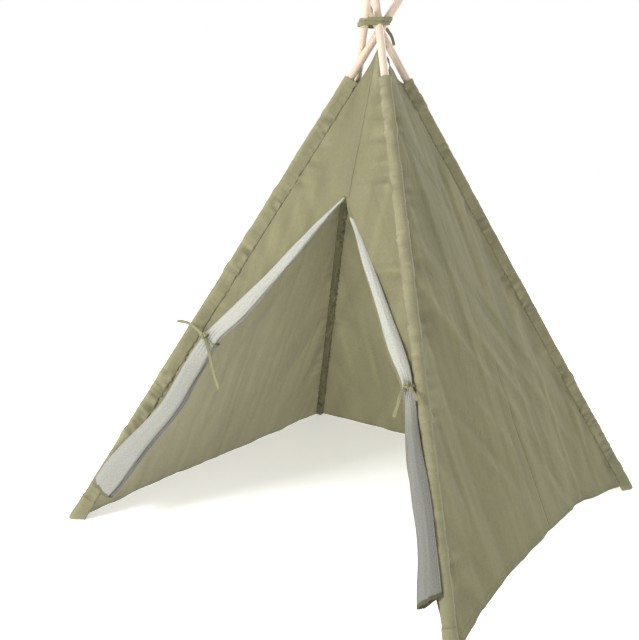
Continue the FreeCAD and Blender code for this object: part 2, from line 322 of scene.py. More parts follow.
def pine(pole):
    """Sanded pale pine, with its grain along one pole."""
    n = Nodes("pine_" + pole)
    turn = Matrix((SIDE[pole], np.cross(AXIS[pole], SIDE[pole]), AXIS[pole])).transposed().to_euler()
    place = n.add("TexCoord").outputs["Object"]
    grain_place = n.scaled(place, (0.0042, 0.0042, 0.16), turn, "TEXTURE")
    grain = n.noise(grain_place, 4.0, 0.62)
    pores = n.noise(n.scaled(place, (0.0009, 0.0009, 0.03), turn, "TEXTURE"), 2.0, 0.5)
    tone = n.noise(n.scaled(place, (0.05, 0.05, 0.7), turn, "TEXTURE"), 2.0, 0.5)
    base = n.ramp(grain, [(0.28, PINE_DARK), (0.50, PINE), (0.72, PINE_LIGHT)])
    base = n.times(base, n.ramp(tone, [(0.3, (0.94, 0.92, 0.89)), (0.7, (1, 1, 1))]))
    base = n.times(base, n.ramp(pores, [(0.28, (0.86, 0.82, 0.78)), (0.42, (1, 1, 1))]))
    n.into("Base Color", base)
    n.into("Roughness", n.ramp(grain, [(0.3, (0.62,) * 3), (0.7, (0.48,) * 3)]))
    n.into("Normal", n.bump(grain, 0.18, 0.0006, n.bump(pores, 0.15, 0.0003)))
    return n.material


def satin_metal():
    n = Nodes("ferrule_aluminium")
    place = n.add("TexCoord").outputs["Object"]
    marks = n.noise(n.scaled(place, (400.0, 400.0, 60.0)), 3.0, 0.6)
    n.into("Base Color", n.ramp(marks, [(0.3, (0.70, 0.71, 0.73)), (0.7, (0.80, 0.81, 0.83))]))
    n.shader.inputs["Metallic"].default_value = 1.0
    n.into("Roughness", n.ramp(marks, [(0.3, (0.30,) * 3), (0.7, (0.42,) * 3)]))
    return n.material


OLIVE = (0.280, 0.265, 0.152)
# The inner face is paler than the outer one, and its colour is raised further to stand in for the light inside the
# tent: partly the cloth's own colour, partly painted light.
OLIVE_INSIDE = (0.60, 0.58, 0.39)
# The left wall's inside is the same cloth as the other walls' inside but painted greyer: painted light from the
# door falling on it.
OLIVE_INSIDE_LEFT_PAINTED_LIGHT = (0.60, 0.575, 0.42)
LINING = (0.385, 0.385, 0.340)
TAPE = (0.215, 0.205, 0.110)
COTTON_MATERIAL = woven("cotton_olive", OLIVE, through=0.35)
INSIDE_MATERIAL = woven("cotton_olive_inside", OLIVE_INSIDE, through=0.40)
LEFT_INSIDE_PAINTED_LIGHT_MATERIAL = woven("cotton_olive_inside_left_painted_light", OLIVE_INSIDE_LEFT_PAINTED_LIGHT, through=0.40)
# The sleeve is the walls' olive cotton darkened to 0.76 of its colour: painted shade.
SLEEVE_MATERIAL = woven("cotton_sleeve", shade(OLIVE, 0.76), through=0.0)
LINING_MATERIAL = woven("lining_melange", LINING, 0.10, 1000.0, 0.12, 0.5, shade(LINING, 1.30))
TAPE_MATERIAL = woven("tape_olive", TAPE, 0.16, 1700.0, 0.0)
STITCH_MATERIAL = thread_material("thread_olive", (0.36, 0.35, 0.22))
BARTACK_MATERIAL = thread_material("thread_light", (0.62, 0.61, 0.50))


# ---------------------------------------------------------------- mesh making
def make_mesh(name, points, faces, uvs, materials, face_material=None, tone=None):
    """A smooth mesh from points, faces and one (across, along) place in metres for each point."""
    mesh = bpy.data.meshes.new(name)
    mesh.from_pydata([tuple(p) for p in points], [], [tuple(int(i) for i in f) for f in faces])
    for material in materials:
        mesh.materials.append(material)
    layer = mesh.uv_layers.new(name="cloth")
    corners = np.zeros(len(mesh.loops), np.int32)
    mesh.loops.foreach_get("vertex_index", corners)
    layer.data.foreach_set("uv", np.asarray(uvs, np.float32)[corners].ravel())
    # tone: painted light and shade, multiplied into the cloth's colour by its material
    tone_layer = mesh.attributes.new("tone", "FLOAT", "POINT")
    if tone is not None:
        tone_layer.data.foreach_set("value", np.asarray(tone, np.float32).ravel())
    if face_material is not None:
        mesh.polygons.foreach_set("material_index", np.asarray(face_material, np.int32))
    mesh.polygons.foreach_set("use_smooth", np.ones(len(mesh.polygons), bool))
    mesh.validate()
    piece = bpy.data.objects.new(name, mesh)
    bpy.context.scene.collection.objects.link(piece)
    return piece


def grid_faces(rows, columns, closed=False):
    last = columns if closed else columns - 1
    i, j = np.meshgrid(np.arange(rows - 1), np.arange(last), indexing="ij")
    right = (j + 1) % columns
    below, above = i * columns, (i + 1) * columns
    faces = np.stack([below + j, below + right, above + right, above + j], -1)
    return faces.reshape(-1, 4)


def spans(points, axis):
    """Running length along one direction of a grid of points."""
    step = np.linalg.norm(np.diff(points, axis=axis), axis=-1)
    pad = [(0, 0), (0, 0)]
    pad[axis] = (1, 0)
    return np.pad(np.cumsum(step, axis=axis), pad)


def cloth_grid(name, points, materials, flip=False, tone=None, thickness=CLOTH, uvs=None, face_material=None):
    """A sheet over a grid of points, given its thickness; faces look outward unless flipped."""
    rows, columns = points.shape[:2]
    faces = grid_faces(rows, columns)
    if flip:
        faces = faces[:, ::-1]
    if uvs is None:
        uvs = np.stack([spans(points, 1), spans(points, 0)], -1)
    if face_material is not None:
        face_material = face_material.ravel()
    piece = make_mesh(name, points.reshape(-1, 3), faces, uvs.reshape(-1, 2), materials, face_material, tone)
    weld(piece)
    thicken(piece, thickness, 1 if len(materials) > 1 else 0)
    return piece


def weld(piece):
    """Joins points that lie together, as at a sheet's pointed corner."""
    modifier = piece.modifiers.new("weld", "WELD")
    modifier.merge_threshold = 0.00002


def thicken(piece, thickness, back_material):
    modifier = piece.modifiers.new("thickness", "SOLIDIFY")
    modifier.thickness = thickness
    modifier.offset = -1.0
    modifier.material_offset = back_material
    modifier.use_even_offset = False


def stitch_row(line, normal):
    """Points and faces of one row of stitches along a line; each is a small pointed bead of thread."""
    line = np.asarray(line, float)
    length = np.concatenate([[0], np.cumsum(np.linalg.norm(np.diff(line, axis=0), axis=1))])
    starts = np.arange(STITCH_STEP, length[-1] - STITCH_STEP, STITCH_STEP)
    points, faces = [], []
    for start in starts:
        ends = (start, start + STITCH_LENGTH)
        a, b = (np.array([np.interp(s, length, line[:, k]) for k in range(3)]) for s in ends)
        up = unit(normal if np.ndim(normal) == 1 else normal[np.searchsorted(length, start) - 1])
        across = unit(np.cross(b - a, up))
        middle = (a + b) / 2 + up * STITCH_THICK * 0.5
        first = len(points)
        points += [a, b, middle + across * STITCH_THICK / 2, middle - across * STITCH_THICK / 2,
                   middle + up * STITCH_THICK / 2, middle - up * STITCH_THICK]
        ring = (2, 4, 3, 5)
        for k in range(4):
            p, q = first + ring[k], first + ring[(k + 1) % 4]
            faces += [(first, q, p), (first + 1, p, q)]
    return points, faces


def stitches(name, rows, material=None):
    """One piece of thread from several (line, normal) rows."""
    points, faces = [], []
    for line, normal in rows:
        more, more_faces = stitch_row(line, normal)
        faces += [tuple(i + len(points) for i in f) for f in more_faces]
        points += more
    piece = make_mesh(name, points, faces, np.zeros((len(points), 2)), [material or STITCH_MATERIAL])
    return piece


# ---------------------------------------------------------------- flat tapes
def route_line(points, samples=24):
    """The smooth line of a route: a NURBS spline with the route's points as its control points."""
    curve = bpy.data.curves.new("route", "CURVE")
    curve.dimensions = "3D"
    curve.resolution_u = samples
    spline = curve.splines.new("NURBS")
    spline.points.add(len(points) - 1)
    for point, place in zip(spline.points, points):
        point.co = (*place, 1)
    spline.order_u = 3
    spline.use_endpoint_u = True
    carrier = bpy.data.objects.new("route", curve)
    mesh = bpy.data.meshes.new_from_object(carrier)
    line = np.array([v.co for v in mesh.vertices])
    bpy.data.objects.remove(carrier)
    bpy.data.meshes.remove(mesh)
    return line


def ribbon(name, line, facing, width=TAPE_WIDTH, thick=TAPE_THICK, twist=None, closed=False, flare=0.0):
    """A folded tape along a line; facing is its face's direction, for the whole tape or at each point."""
    line = np.asarray(line, float)
    count = len(line)
    along = np.gradient(line, axis=0)
    if closed:
        along = np.roll(line, -1, axis=0) - np.roll(line, 1, axis=0)
    along /= np.linalg.norm(along, axis=1)[:, None]
    facing = np.broadcast_to(np.asarray(facing, float), line.shape)
    face = facing - along * (facing * along).sum(1)[:, None]
    face /= np.linalg.norm(face, axis=1)[:, None]
    across = np.cross(along, face)
    if twist is not None:
        turn = np.interp(np.linspace(0, 1, count), np.linspace(0, 1, len(twist)), twist)[:, None]
        c, s = np.cos(turn), np.sin(turn)
        across, face = across * c + face * s, face * c - across * s
    section = np.array([(-0.5, 0), (-0.46, 0.45), (-0.25, 0.5), (0, 0.38), (0.25, 0.5), (0.46, 0.45),
                        (0.5, 0), (0.46, -0.45), (0.25, -0.5), (0, -0.5), (-0.25, -0.5), (-0.46, -0.45)])
    share = np.linspace(0, 1, count)
    wide = width * (1 + flare * smooth((share - 0.7) / 0.3))
    rings = (line[:, None] + across[:, None] * (section[None, :, :1] * wide[:, None, None])
             + face[:, None] * (section[None, :, 1:] * thick))
    sides = len(section)
    length = np.concatenate([[0], np.cumsum(np.linalg.norm(np.diff(line, axis=0), axis=1))])
    uvs = np.stack(np.broadcast_arrays(section[None, :, 0] * width, length[:, None]), -1)
    faces = grid_faces(count, sides, closed=True).tolist()
    if closed:
        last = (count - 1) * sides
        faces += [(last + k, last + (k + 1) % sides, (k + 1) % sides, k) for k in range(sides)]
    else:
        faces += [tuple(range(sides))[::-1], tuple((count - 1) * sides + k for k in range(sides))]
    piece = make_mesh(name, rings.reshape(-1, 3), faces, uvs.reshape(-1, 2), [TAPE_MATERIAL])
    return piece


def tape_knot(name, centre, along, across, out, size):
    """An overhand knot of flat tape: a three-lobed closed loop, flattened against the cloth."""
    t = np.linspace(0, 2 * math.pi, 96, endpoint=False)
    x, y, z = np.sin(t) + 2 * np.sin(2 * t), np.cos(t) - 2 * np.cos(2 * t), -np.sin(3 * t)
    reach = np.array(size) / 2 - 0.0022
    line = (centre + np.outer(x / 3 * reach[0], along) + np.outer(y / 3 * reach[1], across)
            + np.outer(z * reach[2] * 0.8, out))
    facing = out + 0.5 * (line - centre) / max(reach)
    return ribbon(name, line, facing, 0.0062, 0.0024, closed=True)


# ---------------------------------------------------------------- front panel, with the door
class Panel:
    """The plane of two neighbouring poles: origin at the middle of its base."""

    def __init__(self, left, right):
        self.origin = (FOOT[left] + FOOT[right]) / 2
        self.across = unit(FOOT[right] - FOOT[left])
        self.up = unit((CROSSING[left] + CROSSING[right]) / 2 - self.origin)
        self.outward = unit(np.cross(self.across, self.up))
        self.frame = np.linalg.inv(np.column_stack([self.across, self.up, self.outward]))

    def point(self, across, up, out=0.0):
        across, up, out = np.broadcast_arrays(*(np.asarray(v, float) for v in (across, up, out)))
        return (self.origin + across[..., None] * self.across + up[..., None] * self.up
                + out[..., None] * self.outward)

    def place(self, point):
        """(across, up, out) of a point, or of an array of points."""
        return np.moveaxis((np.asarray(point) - self.origin) @ self.frame.T, -1, 0)


FRONT = Panel("front_left", "front_right")
WALL_OUT = -0.003          # the front wall lies this far behind the poles' plane beside the door
SLIT_TOP = SLIT_PIVOT - FRONT.across * 0.001 + FRONT.up * 0.005 + FRONT.outward * WALL_OUT
PEAK_SHIFT = 0.004


# ---------------------------------------------------------------- door flaps
# Each flap folds back along the line from the slit's top to its foot. A row gives the distance down
# that line, where the pleats' door side and pole side lie beside it (towards the pole is positive),
# and how far the outermost pleat stands in front of the poles' plane.
# The rows between the first two and the last two were printed by a separate script from traced edges and
# not chosen by hand. They should become a few hand-chosen ones.
# A flap's shade is how much darker its cloth is painted below the tie: painted shade on the hanging part.
FLAPS = {
    "left": {
        "tie": 0.532, "seed": 71, "free_length": 1.060, "hem_slant": 0.004, "draw_in": 0.72, "shade": 0.9,
        "rows": [(0.000, -0.001, 0.002, 0.003), (0.060, -0.002, 0.010, 0.006),
                 (0.100, -0.002, 0.016, 0.008), (0.140, -0.005, 0.018, 0.011),
                 (0.200, -0.010, 0.022, 0.015), (0.260, -0.011, 0.023, 0.018),
                 (0.320, -0.011, 0.027, 0.021), (0.380, -0.012, 0.035, 0.024),
                 (0.430, -0.011, 0.041, 0.027), (0.480, -0.003, 0.045, 0.029), (0.510, 0.000, 0.046, 0.030),
                 (0.535, -0.004, 0.045, 0.031), (0.560, -0.011, 0.046, 0.031),
                 (0.600, -0.022, 0.044, 0.031), (0.650, -0.031, 0.032, 0.031),
                 (0.700, -0.043, 0.021, 0.031), (0.760, -0.050, 0.011, 0.031),
                 (0.820, -0.050, 0.013, 0.031), (0.880, -0.053, 0.019, 0.031),
                 (0.940, -0.058, 0.025, 0.031), (1.000, -0.063, 0.025, 0.031),
                 (1.060, -0.060, 0.018, 0.030), (1.150, -0.050, 0.008, 0.028)],
    },
    "right": {
        "tie": 0.555, "seed": 83, "free_length": 1.030, "hem_slant": -0.008, "draw_in": -0.48, "shade": 1.75,
        "rows": [(0.000, -0.001, 0.002, 0.003), (0.060, -0.004, 0.006, 0.006),
                 (0.100, -0.000, 0.014, 0.008), (0.140, 0.003, 0.021, 0.010), (0.200, 0.006, 0.029, 0.014),
                 (0.260, 0.012, 0.039, 0.017), (0.320, 0.017, 0.047, 0.020), (0.380, 0.022, 0.055, 0.023),
                 (0.430, 0.025, 0.062, 0.025), (0.480, 0.032, 0.068, 0.028), (0.510, 0.039, 0.071, 0.030),
                 (0.535, 0.043, 0.071, 0.031), (0.560, 0.043, 0.069, 0.031), (0.600, 0.037, 0.066, 0.031),
                 (0.650, 0.026, 0.059, 0.031), (0.700, 0.015, 0.054, 0.031), (0.760, 0.005, 0.052, 0.031),
                 (0.820, -0.003, 0.047, 0.031), (0.880, -0.008, 0.039, 0.031),
                 (0.940, -0.019, 0.031, 0.031), (1.000, -0.036, 0.023, 0.031),
                 (1.060, -0.050, 0.014, 0.030), (1.130, -0.050, 0.010, 0.028)],
    },
}
# Each pleat's place between the wall and the outermost one
STROKE_DEPTH = (0.04, 0.16, 0.28, 0.40, 0.52, 0.66, 1.0)
STROKE_POINTS = (7, 7, 7, 7, 7, 9, 34)
TURN_POINTS = 5
OUTSIDE_SHOWS = 0.058      # the right flap's outer face shows this far down from the slit's top


class Flap:
    def __init__(self, hand):
        data = FLAPS[hand]
        self.hand, self.sign = hand, (-1 if hand == "left" else 1)
        self.foot = FRONT.place(FOOT["front_" + hand])[:2]
        self.top = FRONT.place(SLIT_PIVOT)[:2]
        self.down = unit(self.foot - self.top)
        self.aside = np.array([-self.down[1], self.down[0]]) * self.sign
        self.length = float(np.linalg.norm(self.foot - self.top))
        self.table = np.array(data["rows"])
        self.tie, self.free_length, self.hem_slant = data["tie"], data["free_length"], data["hem_slant"]
        self.draw_in = data["draw_in"]
        self.angle = math.acos(self.down @ np.array([0, -1.0]))
        self.noises = [Ripple(data["seed"] + k) for k in range(5)]

    def edges(self, r):
        """Door side, pole side and outermost depth at distances down the fold line, smoothed between rows."""
        rows = self.table
        slopes = np.gradient(rows[:, 1:], rows[:, 0], axis=0)
        i = np.clip(np.searchsorted(rows[:, 0], r, side="right") - 1, 0, len(rows) - 2)
        step = (rows[i + 1, 0] - rows[i, 0])[..., None]
        t = np.clip((r[..., None] - rows[i, 0][..., None]) / step, 0, 1)
        blend = ((2 * t ** 3 - 3 * t ** 2 + 1) * rows[i, 1:] + (t ** 3 - 2 * t ** 2 + t) * step * slopes[i]
                 + (3 * t ** 2 - 2 * t ** 3) * rows[i + 1, 1:] + (t ** 3 - t ** 2) * step * slopes[i + 1])
        return blend[..., 0], blend[..., 1], blend[..., 2]

    def wall_edge(self, r):
        """Where the wall turns into the flap: the tie draws it from the fold line towards the pole."""
        door, _, top = self.edges(np.asarray(r, float))
        drawn = door + self.draw_in * top + 0.006
        return 0.5 * (drawn + np.sqrt(drawn ** 2 + 0.004 ** 2)) * smooth(np.asarray(r) / 0.10)

    def flat(self, r, beside):
        """(across, up) in the front panel."""
        return (self.top[0] + self.down[0] * r + self.aside[0] * beside,
                self.top[1] + self.down[1] * r + self.aside[1] * beside)

    def point(self, r, beside, out):
        return FRONT.point(*self.flat(r, beside), out)

    def strands(self):
        """The pleats of one row as (kind, stroke, share of it) for each strand."""
        made = []
        for k, count in enumerate(STROKE_POINTS):
            made += [("flat", k, t) for t in np.linspace(0.0, 1.0, count)]
            if k < len(STROKE_POINTS) - 1:
                made += [("turn", k, t) for t in np.linspace(0, 1, TURN_POINTS + 2)[1:-1]]
        return made

    def sheet(self):
        strands = self.strands()
        shares = np.linspace(0, 1, len(strands))
        wobble, _, drape, fine, lean = self.noises
        sides = np.array([(2 * t - 1 if kind == "flat" else 1) * (1 if k % 2 == 0 else -1)
                          for kind, k, t in strands])
        ends = self.free_length + self.hem_slant * sides + 0.003 * drape(sides * 1.5, np.floor(shares * 7))
        b = np.linspace(0, 1, 330)[:, None]
        r = 0.003 + b * (ends[None] - 0.003)
        door, pole, top = self.edges(r)
        edge = self.wall_edge(r)
        beside, out = np.zeros_like(r), np.zeros_like(r)
        base = WALL_OUT + 0.0012
        level = [base + (top - base) * depth for depth in STROKE_DEPTH]
        for column, (kind, k, t) in enumerate(strands):
            rr = r[:, column]
            room = pole[:, column] - door[:, column]
            uneven = 1 + 0.6 * wobble(rr / 0.12, k * 3.0)
            inset = np.minimum(0.0013 * (len(level) - 1 - k) * uneven, room * 0.2)
            here, there = level[k][:, column], level[min(k + 1, len(level) - 1)][:, column]
            radius = np.minimum(np.abs(there - here) / 2, room * 0.42)
            low, high = door[:, column] + inset, pole[:, column] - inset
            to_pole = k % 2 == 0
            turn_at, side = (high, 1) if to_pole else (low, -1)
            if kind == "turn":
                swing = math.pi * (t - 0.5)
                beside[:, column] = turn_at - side * radius + side * radius * math.cos(swing)
                out[:, column] = (here + there) / 2 + (there - here) / 2 * math.sin(swing)
                continue
            before = np.minimum(np.abs(here - level[max(k - 1, 0)][:, column]) / 2, room * 0.42)
            begin = edge[:, column] if k == 0 else (low + before if to_pole else high - before)
            finish = turn_at - side * radius if k < len(level) - 1 else high
            beside[:, column] = begin + (finish - begin) * t
            rise = smooth(t * 2.2) if k == 0 else 1.0
            out[:, column] = base - 0.0012 + (here - base + 0.0012) * rise
            if k == len(level) - 1:
                out[:, column] += self.top_relief(rr, t, room)
        out += 0.0006 * fine(r / 0.06, shares[None] * 42) * smooth(r / 0.1)
        beside += 0.0012 * lean(r / 0.11, shares[None] * 7) * smooth(r / 0.15)
        return self.point(r, beside, out), shares, r

    def tight_folds(self, r, t):
        return np.sin(2 * math.pi * (4.5 * t + 0.25 * self.noises[4](r / 0.06, 9.0)))

    def top_relief(self, r, t, room):
        """Gathers of the outermost pleat: they run down the flap and tighten at the tie."""
        _, gather, drape, _, lean = self.noises
        near = np.exp(-np.abs(r - self.tie) / 0.030)
        window = np.sin(math.pi * np.clip(t, 0.02, 0.98)) ** 0.5
        folds = np.sin(2 * math.pi * (2.2 * t + 0.5 * lean(r / 0.25, 2.0)))
        tight = self.tight_folds(r, t)
        crown = (0.0050 * math.sin(math.pi * t) - 0.007 * t ** 4) * np.minimum(room / 0.04, 1.3)
        soft = 0.0020 * drape(t * 1.8 + 3, r / 0.14) + 0.0006 * gather(t * 6.0, r / 0.05)
        gathers = window * (0.0004 * folds + 0.0026 * near * tight)
        return ((crown + soft) * (1 - 0.7 * near) + gathers) * smooth(r / 0.12)


def make_flap(hand):
    flap = Flap(hand)
    points, shares, r = flap.sheet()
    # painted shade on the flap below its tie, painted light on its last two strands, and painted shade in the
    # pleats' valleys near the tie
    tone = -FLAPS[hand]["shade"] * smooth((r - flap.tie + 0.05) / 0.16)
    tone[:, -2:] += 0.3
    place = np.linspace(0, 1, STROKE_POINTS[-1])
    near = np.exp(-np.abs(r[:, -STROKE_POINTS[-1]:] - flap.tie) / 0.026)
    folds = flap.tight_folds(r[:, -STROKE_POINTS[-1]:], place[None])
    tone[:, -STROKE_POINTS[-1]:] += 1.3 * near * np.minimum(folds, 0.1)
    natural = shares[None] * 2 * flap.angle * r * 0.5
    uvs = np.stack([np.broadcast_to(natural, r.shape), r], -1)
    # the lining shows on the strokes that turn its face outward, so it is the sheet's front side;
    # the cotton shows along the bound hem and, on the right, beside the top of the slit
    olive = np.zeros((points.shape[0] - 1, points.shape[1] - 1), int)
    olive[-3:] = 1
    if hand == "right":
        top_stroke = np.arange(olive.shape[1]) >= olive.shape[1] - STROKE_POINTS[-1] - TURN_POINTS
        olive[(r[:-1, :-1] < OUTSIDE_SHOWS + 0.012 * np.linspace(-1, 1, olive.shape[1])) & top_stroke] = 1
    piece = cloth_grid(f"lining_{hand}_flap", points, [LINING_MATERIAL, COTTON_MATERIAL, COTTON_MATERIAL],
                       flip=hand == "right", tone=tone, uvs=uvs, face_material=olive)
    start = flap.point(0.4, 0.0, WALL_OUT + 0.002)
    end = flap.point(0.4, 0.0, 0.010)
    tuple(start)
    tuple(end)
    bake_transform(piece)
    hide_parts(f"{hand}_flap_gather", f"{hand}_flap_edge")
    line = points[12:-2, -4] + FRONT.outward * 0.0006
    threads = stitches(f"{hand}_flap_stitches", [(line, FRONT.outward)])
    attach(threads, f"{hand}_flap")


# ---------------------------------------------------------------- walls
class Wall:
    """One side of the tent, ruled between the seams beside its two poles."""

    def __init__(self, name, left, right, peak_z, hem_pole, hem_middle, seed, billow):
        self.name, self.poles = name, (left, right)
        self.peak_z, self.hem_pole, self.hem_middle = peak_z, hem_pole, hem_middle
        self.billow = billow
        self.panel = Panel(left, right)
        self.outward = self.panel.outward
        self.noises = [Ripple(seed * 10 + k) for k in range(8)]

    def seam(self, index, z):
        """(across, up, out) in the wall's panel of the seam beside one of its poles, at heights."""
        return self.panel.place(seam_at(self.poles[index], z, index == 0))

    def spread(self, x, z):
        """Both seams' distances across the wall, and each point's share of the way between them."""
        left, right = self.seam(0, z), self.seam(1, z)
        share = np.clip((x - left[0]) / np.maximum(right[0] - left[0], 0.02), 0, 1)
        return left, right, share

    def relief(self, x, z, hem_z):
        """How far the cloth stands out of its ruled surface, and a tone of painted light and shade that darkens
        the hollows of its wrinkles and lightens their ridges.
        """
        fine, medium, broad, gather, cluster, hem_wave, slant, crease = self.noises
        left, right, share = self.spread(x, z)
        to_seam = np.maximum(np.minimum(x - left[0], right[0] - x), 0)
        nearer = (share > 0.5) * 1.0
        margin = 1 - smooth((np.minimum(share, 1 - share) - 0.22) / 0.28)
        away = 1 - np.exp(-to_seam / 0.02)
        height = self.billow * np.sin(math.pi * share) * smooth((self.peak_z - z) / 0.5)
        height += 0.0017 * fine(x / 0.020 + 40, z / 0.30) * away
        height += 0.0045 * medium(x / 0.070 + 9, z / 0.45 + x) * away
        height += 0.0080 * broad(x / 0.26, z / 0.38) * away
        bunched = smooth((cluster(z / 0.075, nearer) + 0.25) / 0.6)
        pull = np.exp(-to_seam / 0.040) * bunched * (1 - np.exp(-to_seam / 0.006)) * margin
        puckers = pull * gather(z / 0.014 + to_seam * 11, nearer * 7)
        drags = np.exp(-to_seam / 0.11) * away * slant((z + 0.9 * to_seam) / 0.050, nearer * 5) * margin
        height += 0.0052 * puckers + 0.0050 * drags
        diagonal = crease((z * 0.8 + x) / 0.045, (z - x) / 0.5)
        height += 0.0040 * np.sign(diagonal) * np.abs(diagonal) ** 1.6 * away
        height += 0.0030 * np.exp(-(z - hem_z) / 0.09) * hem_wave(x / 0.07) * away
        # painted shade in the hollows of puckers, drags and creases, painted light on their ridges
        tone = (0.75 * puckers + 0.40 * drags + 0.22 * fine(x / 0.020 + 40, z / 0.30)
                + 0.25 * np.minimum(diagonal, 0))
        return height, np.clip(tone, -0.9, 0.5)

    def cloth(self, x, z, hem_z, loose=1.0):
        left, right, share = self.spread(x, z)
        out = left[2] + (right[2] - left[2]) * share
        up = (z - self.panel.origin[2] - out * self.outward[2]) / self.panel.up[2]
        height, tone = self.relief(x, z, hem_z)
        return self.panel.point(x, up, out + loose * height), loose * tone

    def inner_line(self, index, b):
        """The half wall's edge away from its pole: distance across, and height."""
        return np.zeros_like(b), self.hem_middle + (self.peak_z - self.hem_middle) * b

    def looseness(self, a, b):
        return np.ones_like(a)

    def half(self, index, columns=104, rows=300):
        """Points of the half beside one of its poles, from the seam to the wall's middle."""
        a, b = np.meshgrid(np.linspace(0, 1, columns), np.linspace(0, 1, rows))
        x_in, z_in = self.inner_line(index, b)
        z_out = self.hem_pole + (WALL_TOP - self.hem_pole) * b
        x_out = self.seam(index, z_out)[0]
        x = x_out + (x_in - x_out) * a
        sag = TOP_SAG.get((self.name, index), 0.13)
        top_sag = (self.peak_z - WALL_TOP) * sag * np.sin(math.pi * a) * smooth((b - 0.8) / 0.2)
        rise = self.hem_middle - self.hem_pole
        arch = rise * (np.sin(a * math.pi / 2) - a) * (1 - b)
        z = z_out + (z_in - z_out) * a - top_sag + arch
        hem_z = self.hem_pole + rise * np.sin(a * math.pi / 2)
        points, tone = self.cloth(x, z, hem_z, self.looseness(a, b))
        lowest = points[:1, :, 2] - hem_z[:1]
        points[..., 2] -= lowest * np.exp(-(z - hem_z) / 0.05)
        return points, tone, x, z, hem_z


class FrontWall(Wall):
    """The wall with the door: each half ends on its flap's fold, then under the placket."""

    SLIT_ROW = 0.755

    def inner_line(self, index, b):
        flap = Flap(("left", "right")[index])
        low = np.clip(b / self.SLIT_ROW, 0, 1)
        high = np.clip((b - self.SLIT_ROW) / (1 - self.SLIT_ROW), 0, 1)
        r = flap.length * (1 - self.hem_pole / SLIT_TOP[2]) * (1 - low)
        across, up = flap.flat(r, flap.wall_edge(r))
        z = FRONT.point(across, up, WALL_OUT)[..., 2]
        seam_x = self.seam(index, z)[0]
        across = np.maximum(across, seam_x + 0.002) if index == 0 else np.minimum(across, seam_x - 0.002)
        slit_x = FRONT.place(SLIT_TOP)[0]
        corner = smooth(low ** 8)
        across, z = across + (slit_x - across) * corner, z + (SLIT_TOP[2] - z) * corner
        return across + (PEAK_SHIFT - slit_x) * high, z + (self.peak_z - SLIT_TOP[2]) * high

    def looseness(self, a, b):
        """The cloth lies flat along the door's edge, where the flap folds over it."""
        beside_door = smooth((1 - a) / 0.30)
        return np.where(b < self.SLIT_ROW, beside_door, 1)


# How deep a half wall's top edge hangs between its pole and the peak, as a share of its rise
TOP_SAG = {("front", 1): -0.06, ("right", 0): 0.05, ("right", 1): 0.26}
WALLS = {
    "front": FrontWall("front", "front_left", "front_right", 1.344, 0.004, 0.004, 3, 0.003),
    "right": Wall("right", "front_right", "back_right", 1.316, 0.020, 0.074, 4, 0.004),
    "back": Wall("back", "back_right", "back_left", 1.300, 0.0008, 0.0008, 5, 0.002),
    "left": Wall("left", "back_left", "front_left", 1.285, 0.0008, 0.0008, 6, -0.002),
}


def fold_with_pole(piece, pole, wall):
    """The piece moves with its pole."""
    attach(piece, pole + "_pole")
    axis = wall.panel.across - AXIS[pole] * (wall.panel.across @ AXIS[pole])
    anchor = pole_at(pole, 0.0)
    tuple(unit(axis))
    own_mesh(piece)


def make_walls():
    for name, wall in WALLS.items():
        for index, pole in enumerate(wall.poles):
            points, tone, x, z, hem_z = wall.half(index)
            from_hem = z - hem_z
            to_seam = np.abs(x - wall.seam(index, z)[0])
            # painted light along the seam beside the sleeve, painted shade along the bottom of the hem
            tone += 0.3 * np.exp(-to_seam / 0.005) - 0.7 * np.exp(-np.maximum(from_hem, 0) / 0.008)
            if name != "front":
                points = points + wall.outward * (0.0007 * smooth((HEM - from_hem) / 0.002))[..., None]
            inside = LEFT_INSIDE_PAINTED_LIGHT_MATERIAL if name == "left" else INSIDE_MATERIAL
            piece = cloth_grid(f"cotton_{name}_at_{pole}", points, [COTTON_MATERIAL, inside],
                               flip=index == 1, tone=tone)
            fold_with_pole(piece, pole, wall)
            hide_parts(f"wall_{name}_at_{pole}")
            threads = stitches(f"hem_stitches_{name}_at_{pole}", wall_stitch_rows(wall, points, z, hem_z))
            fold_with_pole(threads, pole, wall)


def wall_stitch_rows(wall, points, z, hem_z):
    """Stitching of a half wall: its hem (not on the door's halves) and its top edge."""
    lift = wall.outward * 0.0006
    rows = []
    if wall.name != "front":
        row = int(np.argmax((z - hem_z).mean(1) > HEM))
        rows.append((points[row] + lift, wall.outward))
    steps = np.linalg.norm(np.diff(points[::-1], axis=0), axis=-1)
    down = int(np.argmax(np.cumsum(steps[:, 0]) > HEM))
    rows.append((points[-1 - down] + lift, wall.outward))
    return rows


# ---------------------------------------------------------------- pole sleeves
def sleeve_section(radius, reach, lean, line_points=10, arc_points=26):
    """A drop shape round the pole, from its seam and back: (inward, side), and a share, 1 at the seam."""
    angle = math.acos(radius / reach)
    touch = radius * np.array([math.cos(angle), math.sin(angle)])
    seam = np.array([reach, 0.0])
    line = [seam + (touch - seam) * t for t in np.linspace(0, 1, line_points)]
    arc = [radius * np.array([math.cos(t), math.sin(t)])
           for t in np.linspace(angle, 2 * math.pi - angle, arc_points + 2)[1:-1]]
    back = [p * (1, -1) for p in line[::-1]]
    section = np.array(line + arc + back[:-1])
    share = np.clip((section[:, 0] + radius) / (reach + radius), 0, 1)
    lean = math.radians(lean)
    turned = np.array([[math.cos(lean), math.sin(lean)], [-math.sin(lean), math.cos(lean)]])
    return section @ turned, share


